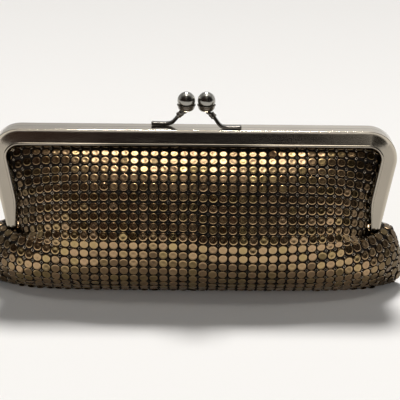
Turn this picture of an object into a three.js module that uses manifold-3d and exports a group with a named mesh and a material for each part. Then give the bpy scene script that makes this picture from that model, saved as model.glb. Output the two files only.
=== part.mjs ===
// A clutch purse of metal mesh cloth, closed, standing by itself on its soft base.
// X runs along the frame, Y from the front to the back, Z up. The origin is the middle of the
// purse's box on the surface that it stands on. Lengths are millimetres, angles are degrees.
import * as THREE from "three";
import { mergeVertices } from "three/addons/utils/BufferGeometryUtils.js";
import Module from "manifold-3d";

const wasm = await Module();
wasm.setup();

// Frame, measured on the outside
const FRAME_WIDTH = 249; // at the widest, just under the corners
const FRAME_TOP = 101.4; // top edge above the table
const FRAME_DROP = 66.4; // from the top edge down to the leg ends
const CORNER_RADIUS = 17.5;
const LEG_LEAN = 10.7; // how far each leg leans inwards going down
const LEG_TAPER = 22; // length over which a leg narrows to its end
const LEG_END_WIDTH = 6; // of the face at the leg end
const METAL = 1; // sheet thickness of the frame
const TOP_DEPTH = 7.35; // of one half's flat top
const FACE_DROP = 8.1; // height of the bevelled face above the lip
const FACE_BEVEL = 1.6; // how far the face's lower edge stands out from its top edge
const LIP_RADIUS = 0.9; // of the rolled lip
const CLEARANCE = 0.3; // between neighbouring pieces

// Hinge at the leg ends
const PIVOT_RISE = 3; // of the rivet above the leg ends
const TAB_RADIUS = 3;
const TAB_METAL = 1;
const RIVET_RADIUS = 1;
const RIVET_HEAD_RADIUS = 2;
const RIVET_HEAD = 0.9;

// Mesh body
const CLOTH = 2; // thickness of the mesh cloth
const BAG_DEPTH = 80.5; // front to back at the belly
const BAG_INSERT = 4.6; // how far the cloth reaches into the frame's channel
const EAR_REACH = 7.5; // how far each side ear passes the frame's widest point
const SEAM_OUT = 1.5; // of the side seam's top, outside the leg end
const PRESSED = 0.6; // height from the table within which the cloth is pressed flat

// Kiss lock
const CLASP_X = 1.3; // of its middle, from the frame's middle
const BALL_DIAMETER = 10.9;
const BALL_SPACING = 12.3;
const BALL_RISE = 16.9; // of the ball centres above the frame's top
const ARM_WIDTH = 4; // front to back
const ARM_METAL = 2;
const FOOT_IN = 15.6; // where a foot's inner end lies, from the clasp's middle
const FOOT_OUT = 27.6;
const FOOT_FLAT = 0.85; // share of the foot that lies flat
const BEND_REACH = 0.14; // share of the slanting part that the bend above the foot takes
const FERRULE_RADIUS = 2;
const FERRULE_HEIGHT = 3.4;
const FERRULE_RISE = 0.74; // share of the way from the foot's height up to the cup
const FERRULE_IN = 0.6; // share of the way from the foot's inner end in to the cup
const CUP_RADIUS = 5.85;
const CUP_HEIGHT = 4.2;
const CUP_METAL = 0.9;
const CUP_EDGE = 0.3; // least thickness of the cup's rim
const CUP_BASE = { wide: 0.45, high: 0 }; // of the cup's outline, as shares of its radius and height
const CUP_WAIST = { wide: 0.8, high: 0.35 };
const STUD_RADIUS = 1.1;
const STUD_HEIGHT = 3.5;
const PEG_RADIUS = 0.9;
const PEG_DEPTH = 1.5; // of a peg's end below the frame's top

// The body's section through its middle, from the lip down to the base line. rise is a share of the
// lip's height, and out is a share of the way from the channel to the belly.
const SECTION = [
  { rise: 1.0, out: 0.0 },
  { rise: 0.978, out: 0.09 },
  { rise: 0.952, out: 0.19 },
  { rise: 0.92, out: 0.315 },
  { rise: 0.883, out: 0.435 },
  { rise: 0.84, out: 0.555 },
  { rise: 0.79, out: 0.665 },
  { rise: 0.734, out: 0.735 },
  { rise: 0.672, out: 0.795 },
  { rise: 0.61, out: 0.855 },
  { rise: 0.549, out: 0.915 },
  { rise: 0.49, out: 0.975 },
  { rise: 0.448, out: 1.0 },
  { rise: 0.41, out: 0.994 },
  { rise: 0.361, out: 0.972 },
  { rise: 0.3, out: 0.936 },
  { rise: 0.24, out: 0.891 },
  { rise: 0.184, out: 0.833 },
  { rise: 0.132, out: 0.748 },
  { rise: 0.079, out: 0.61 },
  { rise: 0.034, out: 0.44 },
  { rise: 0.0, out: 0.26 },
];

// A side ear's outline below the hinge. reach is a share of the way from the leg end's outer edge to
// the ear's tip, and rise is a share of the seam's height there.
const EAR = [
  { reach: 0.0, rise: 1.0 },
  { reach: 0.16, rise: 1.13 },
  { reach: 0.36, rise: 1.15 },
  { reach: 0.58, rise: 1.06 },
  { reach: 0.8, rise: 0.85 },
  { reach: 0.95, rise: 0.62 },
  { reach: 1.0, rise: 0.36 },
  { reach: 0.96, rise: 0.14 },
  { reach: 0.7, rise: 0.03 },
  { reach: -0.15, rise: 0.0 },
];

// The shape of a row's bow from edge to edge: how far its middle stays full and how steeply it falls
// to the edges, for the upper rows and for those near the base.
const HIGH_BOW = { fullness: 3.2, steepness: 0.6 };
const LOW_BOW = { fullness: 5.2, steepness: 0.8 };
const BOW_CHANGE = { from: 0.45, to: 0.75 }; // shares of the way down between the two
// How near its ends a row stays level: at the lip, on the upper rows and below the hinge
const LEVEL = { lip: 30, high: 5, low: 10 };

const LEVEL_REACH = 0.15; // share of the way down over which they turn level again
const LIP_REACH = 0.12; // share of the way down over which the rows leave the straight lip

// Dents and swellings of the body. side is 1 in front and -1 behind, across runs from -1 to 1, down
// from 0 at the lip to 1 at the base line, and swell is a share of the belly's depth.
const DENTS = [
  { side: 1, across: 0.28, down: 0.63, wide: 0.24, tall: 0.13, swell: 0.055 },
  { side: 1, across: -0.3, down: 0.6, wide: 0.22, tall: 0.14, swell: -0.035 },
  { side: 1, across: 0.1, down: 0.3, wide: 0.12, tall: 0.14, swell: -0.035 },
  { side: 1, across: -0.62, down: 0.3, wide: 0.16, tall: 0.12, swell: 0.035 },
  { side: 1, across: 0.68, down: 0.33, wide: 0.16, tall: 0.14, swell: 0.03 },
  { side: 1, across: -0.9, down: 0.8, wide: 0.05, tall: 0.05, swell: -0.12 },
  { side: -1, across: -0.4, down: 0.62, wide: 0.25, tall: 0.16, swell: 0.045 },
  { side: -1, across: 0.25, down: 0.5, wide: 0.2, tall: 0.18, swell: -0.04 },
  { side: -1, across: 0.7, down: 0.35, wide: 0.15, tall: 0.12, swell: 0.03 },
];

const rad = THREE.MathUtils.degToRad;
const clamp = THREE.MathUtils.clamp;
const lerp = THREE.MathUtils.lerp;
const smoothstep = THREE.MathUtils.smoothstep;

// A closed solid's geometry from corners and triangles, with its faces turned outwards.
function closed(corners, triangles) {
  let volume = 0;
  for (const [a, b, c] of triangles) {
    volume += corners[a].dot(new THREE.Vector3().crossVectors(corners[b], corners[c]));
  }
  const turned = volume < 0 ? triangles.map(([a, b, c]) => [a, c, b]) : triangles;
  const geometry = new THREE.BufferGeometry();
  geometry.setAttribute(
    "position",
    new THREE.Float32BufferAttribute(corners.flatMap((p) => [p.x, p.y, p.z]), 3),
  );
  geometry.setIndex(turned.flat());
  return geometry;
}

// Triangles of the sheet between rows of corner numbers, turned over if asked, leaving out those
// that have shrunk to a line.
function sheetBetween(rows, turned) {
  const triangles = [];
  for (let j = 0; j + 1 < rows.length; j += 1) {
    for (let i = 0; i + 1 < rows[j].length; i += 1) {
      const [a, b] = [rows[j][i], rows[j][i + 1]];
      const [c, d] = [rows[j + 1][i], rows[j + 1][i + 1]];
      for (const [p, q, r] of [[a, b, d], [a, d, c]]) {
        if (p !== q && q !== r && r !== p) triangles.push(turned ? [p, r, q] : [p, q, r]);
      }
    }
  }
  return triangles;
}

// A section carried through stations: place(station, point) gives each corner, and both ends are
// closed by flat caps.
function swept(section, stations, place) {
  const corners = stations.flatMap((station) => section.map((p) => place(station, p)));
  const n = section.length;
  const triangles = [];
  for (let i = 0; i + 1 < stations.length; i += 1) {
    for (let k = 0; k < n; k += 1) {
      const [a, b] = [i * n + k, i * n + ((k + 1) % n)];
      triangles.push([a, b, b + n], [a, b + n, a + n]);
    }
  }
  const last = (stations.length - 1) * n;
  for (const [a, b, c] of THREE.ShapeUtils.triangulateShape(section, [])) {
    triangles.push([a, c, b], [last + a, last + b, last + c]);
  }
  return closed(corners, triangles);
}

function toSolid(geometry) {
  const bare = geometry.index ? geometry.toNonIndexed() : geometry.clone();
  bare.deleteAttribute("normal");
  bare.deleteAttribute("uv");
  const merged = mergeVertices(bare, 1e-4);
  const mesh = new wasm.Mesh({
    numProp: 3,
    vertProperties: merged.attributes.position.array,
    triVerts: new Uint32Array(merged.index.array),
  });
  return new wasm.Manifold(mesh);
}

function toGeometry(solid) {
  const mesh = solid.getMesh();
  const geometry = new THREE.BufferGeometry();
  geometry.setAttribute("position", new THREE.BufferAttribute(mesh.vertProperties, 3));
  geometry.setIndex(new THREE.BufferAttribute(mesh.triVerts, 1));
  return geometry;
}

const joined = (...shapes) => shapes.map(toSolid).reduce((a, b) => a.add(b));
const cutFrom = (solid, ...shapes) => shapes.map(toSolid).reduce((a, b) => a.subtract(b), solid);

function box(low, high) {
  const size = new THREE.Vector3().subVectors(high, low);
  const middle = new THREE.Vector3().addVectors(low, high).multiplyScalar(0.5);
  return new THREE.BoxGeometry(size.x, size.y, size.z).translate(middle.x, middle.y, middle.z);
}

// A round piece about the X axis, from one X to another.
function roundAlongX(radius, from, to, y, z) {
  const geometry = new THREE.CylinderGeometry(radius, radius, Math.abs(to - from), 16);
  return geometry.rotateZ(Math.PI / 2).translate((from + to) / 2, y, z);
}

// Where the frame's outer edge runs on the right-hand side
const lean = rad(LEG_LEAN);
const CORNER_X = FRAME_WIDTH / 2 - CORNER_RADIUS;
const CORNER_Z = FRAME_TOP - CORNER_RADIUS;
const LEG_END_Z = FRAME_TOP - FRAME_DROP;
const FACE_WIDTH = FACE_DROP + 2 * LIP_RADIUS; // across the whole face, lip and all
const LIP_OUT = TOP_DEPTH + FACE_BEVEL - CLEARANCE; // of the lip's middle, from the seam
const CHANNEL = LIP_OUT - LIP_RADIUS - METAL; // the channel's open width at the lip
const CLOTH_OUT = METAL + (CHANNEL + CLOTH) / 2; // of the cloth's outer face in the channel

// A point of the leg's outer edge at a height.
function legEdgeX(z) {
  const tangentX = CORNER_X + CORNER_RADIUS * Math.cos(lean);
  const tangentZ = CORNER_Z - CORNER_RADIUS * Math.sin(lean);
  return tangentX - (tangentZ - z) * Math.tan(lean);
}

// How wide the face is at a height, as a share of its full width.
function taperAt(z) {
  const narrow = LEG_END_WIDTH / FACE_WIDTH;
  return lerp(narrow, 1, smoothstep(z, LEG_END_Z, LEG_END_Z + LEG_TAPER));
}

// Stations along the outer edge from the left leg end to the right one, each with its point, its
// outward direction and its share of the full face width.
function frameStations() {
  const right = [];
  const cornerSteps = 8;
  const turn = Math.PI / 2 + lean;
  for (let i = 0; i <= cornerSteps; i += 1) {
    const a = (turn * i) / cornerSteps;
    const [nx, nz] = [Math.sin(a), Math.cos(a)];
    const [x, z] = [CORNER_X + CORNER_RADIUS * nx, CORNER_Z + CORNER_RADIUS * nz];
    right.push({ x, z, nx, nz, share: 1 });
  }
  const top = CORNER_Z - CORNER_RADIUS * Math.sin(lean);
  const taperTop = Math.min(top - 1, LEG_END_Z + LEG_TAPER);
  for (const t of [0, 0.3, 0.6, 0.85, 1]) {
    const z = lerp(taperTop, LEG_END_Z, t);
    right.push({ x: legEdgeX(z), z, nx: Math.cos(lean), nz: -Math.sin(lean), share: taperAt(z) });
  }
  const left = right.map((s) => ({ ...s, x: -s.x, nx: -s.nx })).reverse();
  return [...left, ...right];
}

// The channel's section: x is the depth from the seam between the halves, and y the distance
// inwards from the outer edge.
function channelSection() {
  const slope = FACE_BEVEL / FACE_DROP;
  const round = METAL / 2;
  const points = [
    [CLEARANCE / 2, 0],
    [TOP_DEPTH - round, 0],
    [TOP_DEPTH, round],
    [TOP_DEPTH + FACE_BEVEL, FACE_DROP],
  ];
  const lipSteps = 6;
  for (let i = 0; i <= lipSteps; i += 1) {
    const a = rad(lerp(-60, 175, i / lipSteps));
    points.push([
      LIP_OUT + LIP_RADIUS * Math.cos(a),
      FACE_DROP + LIP_RADIUS + LIP_RADIUS * Math.sin(a),
    ]);
  }
  points.push(
    [TOP_DEPTH + FACE_BEVEL - METAL - slope * METAL, FACE_DROP - METAL],
    [TOP_DEPTH - METAL + slope * METAL, METAL],
    [METAL + CLEARANCE / 2, METAL],
    [METAL + CLEARANCE / 2, FACE_DROP],
    [CLEARANCE / 2, FACE_DROP],
  );
  return points.map(([x, y]) => new THREE.Vector2(x, y));
}

const PIVOT_Z = LEG_END_Z + PIVOT_RISE;
const SLOT_TOP = PIVOT_Z + TAB_RADIUS + CLEARANCE; // the legs are open to each other below this
const TAB_X = legEdgeX(PIVOT_Z) - 2 * TAB_METAL; // outer face of the front half's tab

// A hinge tab: a flat plate across X with a round end about the pivot, joined to the leg's face.
function hingeTab(outer, front) {
  const depth = TOP_DEPTH + METAL / 2;
  const shape = new THREE.Shape();
  shape.moveTo(0, -TAB_RADIUS);
  shape.lineTo(depth, -TAB_RADIUS);
  shape.lineTo(depth, TAB_RADIUS);
  shape.lineTo(0, TAB_RADIUS);
  shape.absarc(0, 0, TAB_RADIUS, Math.PI / 2, (3 * Math.PI) / 2);
  const plate = new THREE.ExtrudeGeometry(shape, {
    depth: TAB_METAL,
    bevelEnabled: false,
    curveSegments: 12,
  });
  // The shape's X becomes depth away from the seam, its Y becomes Z, and its thickness X.
  const side = front ? -1 : 1;
  plate.applyMatrix4(
    new THREE.Matrix4().set(0, 0, side, 0, side, 0, 0, 0, 0, 1, 0, 0, 0, 0, 0, 1),
  );
  plate.translate(front ? outer : outer - TAB_METAL, 0, PIVOT_Z);
  return plate;
}

function frameHalf(front) {
  const side = front ? -1 : 1;
  const place = (s, p) => {
    const inward = p.y * s.share;
    return new THREE.Vector3(s.x - s.nx * inward, side * p.x, s.z - s.nz * inward);
  };
  let half = toSolid(swept(channelSection(), frameStations(), place));
  const opening = TOP_DEPTH - METAL;
  const outer = front ? TAB_X : TAB_X - TAB_METAL - CLEARANCE;
  for (const hand of [-1, 1]) {
    const slot = box(
      new THREE.Vector3(hand > 0 ? 0 : -FRAME_WIDTH, -opening, LEG_END_Z - METAL),
      new THREE.Vector3(hand > 0 ? FRAME_WIDTH : 0, opening, SLOT_TOP),
    );
    half = cutFrom(half, slot);
    const plate = hingeTab(outer, front);
    const tab = hand > 0 ? toSolid(plate) : toSolid(plate).mirror([1, 0, 0]);
    half = half.add(tab);
    const reach = hand * FRAME_WIDTH;
    half = cutFrom(half, roundAlongX(RIVET_RADIUS + CLEARANCE, 0, reach, 0, PIVOT_Z));
  }
  // Holes in the flat top for the pegs of the clasp arm that this half carries
  for (const x of pegPlaces(front)) {
    const hole = new THREE.CylinderGeometry(
      PEG_RADIUS + CLEARANCE,
      PEG_RADIUS + CLEARANCE,
      4 * METAL,
      12,
    );
    hole.rotateX(Math.PI / 2).translate(x, side * FOOT_Y, FRAME_TOP);
    half = cutFrom(half, hole);
  }
  return toGeometry(half);
}

function hingeRivet(hand) {
  const inner = TAB_X - 2 * TAB_METAL - CLEARANCE;
  const low = inner - CLEARANCE;
  const high = TAB_X + CLEARANCE;
  const rivet = joined(
    roundAlongX(RIVET_RADIUS, low - RIVET_HEAD / 2, high + RIVET_HEAD / 2, 0, PIVOT_Z),
    roundAlongX(RIVET_HEAD_RADIUS, low - RIVET_HEAD, low, 0, PIVOT_Z),
    roundAlongX(RIVET_HEAD_RADIUS, high, high + RIVET_HEAD, 0, PIVOT_Z),
  );
  return toGeometry(hand > 0 ? rivet : rivet.mirror([1, 0, 0]));
}

// The cloth

const LIP_Z = FRAME_TOP - FACE_WIDTH - CLEARANCE; // where the cloth leaves the frame
const EAR_TIP_X = FRAME_WIDTH / 2 + EAR_REACH;
const SEAM_DROP = 4 * CLEARANCE; // of the side seam's top below the leg end

// Points with their distance along the line that joins them.
function measured(points) {
  let run = 0;
  return points.map((p, i) => {
    if (i > 0) run += p.distanceTo(points[i - 1]);
    return { p, run };
  });
}

// The point at a share of a measured line's length, and the direction there.
function along(line, share) {
  const run = clamp(share, 0, 1) * line[line.length - 1].run;
  let i = 1;
  while (i < line.length - 1 && line[i].run < run) i += 1;
  const [a, b] = [line[i - 1], line[i]];
  const point = a.p.clone().lerp(b.p, (run - a.run) / (b.run - a.run));
  return { point, direction: b.p.clone().sub(a.p).normalize() };
}

function smoothLine(points, steps) {
  const curve = new THREE.CatmullRomCurve3(
    points.map((p) => new THREE.Vector3(p.x, p.y, 0)),
    false,
    "centripetal",
  );
  return curve.getPoints(steps).map((p) => new THREE.Vector2(p.x, Math.max(p.y, 0)));
}

// The middle section as a line of (depth, height), from the lip down and in to the base line.
const sectionLine = (() => {
  const belly = BAG_DEPTH / 2;
  const points = SECTION.map(
    ({ rise, out }) => new THREE.Vector2(lerp(CLOTH_OUT, belly, out), rise * LIP_Z),
  );
  return measured([...smoothLine(points, 60), new THREE.Vector2(0, 0)]);
})();

// The cloth's right-hand edge as a line of (x, height): from the middle of the frame's corner down
// the leg, under the leg's end, and round the side ear to the end of the base line.
const edge = (() => {
  const inset = CORNER_RADIUS - FACE_WIDTH - CLEARANCE;
  const points = [];
  const cornerSteps = 5;
  const turn = Math.PI / 2 + lean;
  for (let i = 0; i < cornerSteps; i += 1) {
    const a = lerp(turn / 2, turn, i / cornerSteps);
    const [x, z] = [CORNER_X + inset * Math.sin(a), CORNER_Z + inset * Math.cos(a)];
    points.push(new THREE.Vector2(x, z));
  }
  const tangentZ = CORNER_Z - CORNER_RADIUS * Math.sin(lean);
  const legSteps = 12;
  for (let i = 0; i <= legSteps; i += 1) {
    const z = lerp(tangentZ, LEG_END_Z, i / legSteps);
    const inward = FACE_WIDTH * taperAt(z) + CLEARANCE;
    points.push(
      new THREE.Vector2(legEdgeX(z) - inward * Math.cos(lean), z + inward * Math.sin(lean)),
    );
  }
  const under = LEG_END_Z - SEAM_DROP;
  points.push(new THREE.Vector2(points[points.length - 1].x, under));
  const hingeRun = measured(points)[points.length - 1].run;
  const seamX = legEdgeX(LEG_END_Z) + SEAM_OUT;
  const ear = EAR.map(
    ({ reach, rise }) => new THREE.Vector2(lerp(seamX, EAR_TIP_X, reach), rise * under),
  );
  const seamRun = hingeRun + points[points.length - 1].distanceTo(ear[0]);
  const line = measured([...points, ...smoothLine(ear, 30)]);
  const total = line[line.length - 1].run;
  return { line, hinge: hingeRun / total, seam: seamRun / total };
})();

// The middle section's point at a share of the way down, moved in by an inset square to the cloth.
function sectionAt(down, inset) {
  const { point, direction } = along(sectionLine, down);
  const [nOut, nUp] = [-direction.y, direction.x];
  if (down > 0) return { out: point.x - inset * nOut, z: point.y - inset * nUp };
  // At the lip the cloth turns out of the upright channel, so the inset is mitred.
  return { out: point.x - inset, z: point.y - (inset * (1 - nOut)) / nUp };
}

// The cloth's edge at a share of the way down, the same inset measured from it.
function edgeAt(down, inset) {
  const { point, direction } = along(edge.line, down);
  const [nx, nz] = [-direction.y, direction.x];
  const open = 1 - smoothstep(down, edge.hinge, edge.seam);
  return {
    x: point.x - inset * nx,
    z: point.y - inset * nz,
    out: open * (CLOTH_OUT - inset),
    nx,
    nz,
  };
}

function swellAt(side, across, down) {
  return DENTS.filter((d) => d.side === side).reduce((sum, d) => {
    const [a, b] = [(across - d.across) / d.wide, (down - d.down) / d.tall];
    return sum + d.swell * Math.exp(-a * a - b * b);
  }, 0);
}

// A point of the cloth. Each row runs from edge to edge as a rounded bow through the middle
// section, level for most of its length and turning down or up to its ends.
function clothPoint(side, across, down, inset) {
  const e = edgeAt(down, inset);
  const c = sectionAt(down, inset);
  const u = Math.abs(across);
  const low = smoothstep(down, BOW_CHANGE.from, BOW_CHANGE.to);
  const fullness = lerp(HIGH_BOW.fullness, LOW_BOW.fullness, low);
  const bow = (1 - u ** fullness) ** lerp(HIGH_BOW.steepness, LOW_BOW.steepness, low);
  const upper = lerp(LEVEL.lip, LEVEL.high, smoothstep(down, 0, LIP_REACH));
  const levelness = lerp(upper, LEVEL.low, smoothstep(down, edge.seam, edge.seam + LEVEL_REACH));
  const level = 1 - u ** levelness;
  const belly = BAG_DEPTH / 2;
  const swell = belly * swellAt(side, across, down) * bow * Math.sin(Math.PI * down);
  const out = e.out + (c.out - e.out) * bow + swell;
  return new THREE.Vector3(e.x * across, -side * out, pressed(e.z + (c.z - e.z) * level, inset));
}

// A height of the cloth after its own weight has pressed it onto the table.
function pressed(z, inset) {
  const sink = PRESSED * (1 - smoothstep(z, 0, LIP_Z / 3));
  return Math.max(z - sink, inset);
}

// Where the cloth's rim ends inside the channel, outwards from a point of its edge.
function rimEnd(side, point, normal, depth) {
  const held = smoothstep(point.z, SLOT_TOP, SLOT_TOP + 2 * BAG_INSERT);
  const reach = BAG_INSERT * held;
  return new THREE.Vector3(point.x + reach * normal.x, -side * depth, point.z + reach * normal.y);
}

// The frame's outward direction beside a point of the cloth's top edge.
function topNormal(point) {
  const past = Math.max(0, Math.abs(point.x) - CORNER_X);
  return new THREE.Vector2(Math.sign(point.x) * past, point.z - CORNER_Z).normalize();
}

function meshBag() {
  const corners = [];
  const numbers = new Map();
  const numberOf = (p) => {
    const key = [p.x, p.y, p.z].map((v) => Math.round(v * 1e4)).join();
    if (!numbers.has(key)) {
      numbers.set(key, corners.length);
      corners.push(p);
    }
    return numbers.get(key);
  };

  // Columns stand closer together towards both edges.
  const columns = 36;
  const crowding = 0.7;
  const acrossAt = (i) => {
    const t = (2 * i) / columns - 1;
    return lerp(t, Math.sin((Math.PI / 2) * t), crowding);
  };
  const rowsAbove = 8;
  const rowsBelow = 9;
  const downs = [];
  for (let j = 0; j <= rowsAbove; j += 1) downs.push((edge.hinge * j) / rowsAbove);
  for (let j = 0; j <= rowsBelow; j += 1) downs.push(lerp(edge.seam, 1, j / rowsBelow));

  const triangles = [];
  for (const side of [1, -1]) {
    const grid = (inset) =>
      downs.map((down) => {
        const row = [];
        for (let i = 0; i <= columns; i += 1) {
          row.push(clothPoint(side, acrossAt(i), down, inset));
        }
        return row;
      });
    const [outer, inner] = [grid(0), grid(CLOTH)];

    // The open edge, from the left seam up the left leg, along the top and down the right leg
    const rim = [];
    for (let j = rowsAbove + 1; j > 0; j -= 1) rim.push({ j, i: 0, hand: -1 });
    for (let i = 0; i <= columns; i += 1) rim.push({ j: 0, i, hand: 0 });
    for (let j = 1; j <= rowsAbove + 1; j += 1) rim.push({ j, i: columns, hand: 1 });
    const ends = rim.map(({ j, i, hand }) => {
      const point = outer[j][i];
      const e = edgeAt(downs[j], 0);
      const normal = hand === 0 ? topNormal(point) : new THREE.Vector2(hand * e.nx, e.nz);
      const inside = edgeAt(downs[j], CLOTH);
      return [rimEnd(side, point, normal, e.out), rimEnd(side, point, normal, inside.out)];
    });
    const strips = [
      rim.map(({ j, i }) => numberOf(outer[j][i])),
      ends.map(([out]) => numberOf(out)),
      ends.map(([, inside]) => numberOf(inside)),
      rim.map(({ j, i }) => numberOf(inner[j][i])),
    ];
    triangles.push(
      ...sheetBetween(outer.map((row) => row.map(numberOf)), side > 0),
      ...sheetBetween(inner.map((row) => row.map(numberOf)), side < 0),
      ...sheetBetween(strips, side < 0),
    );
  }
  return closed(corners, triangles);
}

// Kiss lock

const FOOT_Y = TOP_DEPTH / 2; // of a foot's middle, from the seam
const BALL_Z = FRAME_TOP + BALL_RISE;
const BALL_SEAT = BALL_DIAMETER / 2 + CLEARANCE; // from the ball's middle to the cup
const CUP_BOTTOM_Z = BALL_Z - BALL_SEAT - CUP_METAL;
const CUP_RIM_Z = CUP_BOTTOM_Z + CUP_HEIGHT;
// The bowl follows the ball up to its rim, and the balls stand far enough apart for both cups.
const RIM_INSIDE = Math.sqrt(Math.max(BALL_SEAT ** 2 - (BALL_Z - CUP_RIM_Z) ** 2, STUD_RADIUS ** 2));
const CUP_OUTSIDE = Math.max(CUP_RADIUS, RIM_INSIDE + CUP_EDGE);
const BALL_X = Math.max(BALL_SPACING / 2, CUP_OUTSIDE + CLEARANCE);

// Where the pegs of a half's clasp foot stand. The front half carries the right-hand foot.
function pegPlaces(front) {
  const hand = front ? 1 : -1;
  const inset = (FOOT_OUT - FOOT_IN) / 4;
  return [FOOT_IN + inset, FOOT_OUT - inset].map((x) => CLASP_X + hand * x);
}

// A flat strip bent along a path, its width along Y.
function bentStrip(path, width, thickness) {
  const stations = path.map((p, i) => {
    const before = path[Math.max(i - 1, 0)];
    const after = path[Math.min(i + 1, path.length - 1)];
    const run = new THREE.Vector2(after.x - before.x, after.z - before.z).normalize();
    return { p, run };
  });
  const [w, t] = [width / 2, thickness / 2];
  const round = Math.min(w, t) / 2;
  const section = [
    [w - round, -t],
    [w, -t + round],
    [w, t - round],
    [w - round, t],
    [-w + round, t],
    [-w, t - round],
    [-w, -t + round],
    [-w + round, -t],
  ].map(([x, y]) => new THREE.Vector2(x, y));
  return swept(
    section,
    stations,
    ({ p, run }, q) => new THREE.Vector3(p.x - run.y * q.y, p.y + q.x, p.z + run.x * q.y),
  );
}

// The arm on the right of the clasp, on the front half. Its foot lies on the frame's flat top, and
// the strip bends up at the foot's inner end and through a ferrule into the cup under the ball.
function claspArmRight() {
  const footZ = FRAME_TOP + CLEARANCE + ARM_METAL / 2;
  const cupFloor = CUP_BOTTOM_Z + CUP_METAL / 2;
  const seat = new THREE.Vector3(BALL_X, 0, CUP_BOTTOM_Z);
  const [bend, ferrule] = [
    new THREE.Vector3(FOOT_IN, -FOOT_Y, footZ),
    new THREE.Vector3(
      lerp(FOOT_IN, BALL_X, FERRULE_IN),
      -FOOT_Y / 3,
      lerp(footZ, CUP_BOTTOM_Z, FERRULE_RISE),
    ),
  ];
  const curve = new THREE.CatmullRomCurve3(
    [
      new THREE.Vector3(FOOT_OUT, -FOOT_Y, footZ),
      new THREE.Vector3(lerp(FOOT_OUT, FOOT_IN, FOOT_FLAT), -FOOT_Y, footZ),
      bend.clone().lerp(ferrule, BEND_REACH),
      ferrule,
      seat,
    ],
    false,
    "centripetal",
  );
  const steps = 11;
  const strip = bentStrip(curve.getPoints(steps), ARM_WIDTH, ARM_METAL);

  const collar = new THREE.CylinderGeometry(FERRULE_RADIUS, FERRULE_RADIUS, FERRULE_HEIGHT, 16);
  const slant = seat.clone().sub(bend).normalize();
  collar.applyQuaternion(
    new THREE.Quaternion().setFromUnitVectors(new THREE.Vector3(0, 1, 0), slant),
  );
  collar.translate(ferrule.x, ferrule.y, ferrule.z);

  // The cup's bowl follows the ball on the inside and flares to its rim.
  const outline = [CUP_BASE, CUP_WAIST].map(({ wide, high }) => [
    CUP_OUTSIDE * wide,
    lerp(CUP_BOTTOM_Z, CUP_RIM_Z, high),
  ]);
  const profile = [
    [0, CUP_BOTTOM_Z],
    ...outline,
    [CUP_OUTSIDE, CUP_RIM_Z],
    [RIM_INSIDE, CUP_RIM_Z],
  ];
  const bowlSteps = 4;
  const rimAngle = Math.asin(RIM_INSIDE / BALL_SEAT);
  for (let i = 1; i <= bowlSteps; i += 1) {
    const a = rimAngle * (1 - i / bowlSteps);
    profile.push([BALL_SEAT * Math.sin(a), BALL_Z - BALL_SEAT * Math.cos(a)]);
  }
  const cup = new THREE.LatheGeometry(
    profile.map(([r, z]) => new THREE.Vector2(r, z)),
    16,
  );
  cup.rotateX(Math.PI / 2).translate(BALL_X, 0, 0);

  const studLength = STUD_HEIGHT + CUP_METAL / 2 + CLEARANCE;
  const stud = new THREE.CylinderGeometry(STUD_RADIUS, STUD_RADIUS, studLength, 12);
  stud.rotateX(Math.PI / 2).translate(BALL_X, 0, cupFloor + studLength / 2);

  const pegs = pegPlaces(true).map((x) => {
    const low = FRAME_TOP - PEG_DEPTH;
    const peg = new THREE.CylinderGeometry(PEG_RADIUS, PEG_RADIUS, footZ - low, 12);
    return peg.rotateX(Math.PI / 2).translate(x - CLASP_X, -FOOT_Y, (footZ + low) / 2);
  });
  return joined(strip, collar, cup, stud, ...pegs);
}

function claspBallRight() {
  const ball = new THREE.SphereGeometry(BALL_DIAMETER / 2, 16, 12);
  ball.rotateX(Math.PI / 2).translate(BALL_X, 0, BALL_Z);
  const socketTop = BALL_Z - BALL_DIAMETER / 2 + STUD_HEIGHT + CLEARANCE;
  const depth = STUD_HEIGHT + BALL_DIAMETER;
  const socket = new THREE.CylinderGeometry(
    STUD_RADIUS + CLEARANCE,
    STUD_RADIUS + CLEARANCE,
    depth,
    12,
  );
  socket.rotateX(Math.PI / 2).translate(BALL_X, 0, socketTop - depth / 2);
  return cutFrom(toSolid(ball), socket);
}

// The left side of the clasp is the right side turned half a turn about the upright axis.
function turnedAbout(solid, hand) {
  return toGeometry(hand > 0 ? solid : solid.rotate([0, 0, 180]));
}

const pewter = new THREE.MeshStandardMaterial({ color: 0x9a9186, metalness: 1, roughness: 0.32 });
const darkPewter = new THREE.MeshStandardMaterial({ color: 0x6f675e, metalness: 1, roughness: 0.3 });
const bronze = new THREE.MeshStandardMaterial({ color: 0x8a6f4e, metalness: 1, roughness: 0.38 });

function named(name, geometry, material) {
  const mesh = new THREE.Mesh(geometry, material);
  mesh.name = name;
  return mesh;
}

const purse = new THREE.Group();
purse.add(named("frame_front", frameHalf(true), pewter));
purse.add(named("frame_back", frameHalf(false), pewter));
const clasp = new THREE.Group();
clasp.position.x = CLASP_X;
for (const [hand, word] of [[-1, "left"], [1, "right"]]) {
  purse.add(named(`hinge_rivet_${word}`, hingeRivet(hand), pewter));
  clasp.add(named(`clasp_arm_${word}`, turnedAbout(claspArmRight(), hand), darkPewter));
  clasp.add(named(`clasp_ball_${word}`, turnedAbout(claspBallRight(), hand), darkPewter));
}
purse.add(clasp);
purse.add(named("mesh_bag", meshBag(), bronze));

// The body swells differently in front and behind, so its box is brought back to the middle.
const extent = new THREE.Box3().setFromObject(purse);
purse.position.y = -(extent.min.y + extent.max.y) / 2;

export default purse;
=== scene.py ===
"""Looks for a closed clutch purse of metal mesh discs on a kiss-lock frame.

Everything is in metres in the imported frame: X runs along the purse's frame, Y from the front to
the back, Z up, and the surface that the purse stands on is at Z = 0. In the formulas, across runs
from -1 at the left edge of the cloth to 1 at the right one, and down from 0 where the cloth leaves
the frame to 1 at the line where the front and the back meet underneath.
"""

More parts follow.
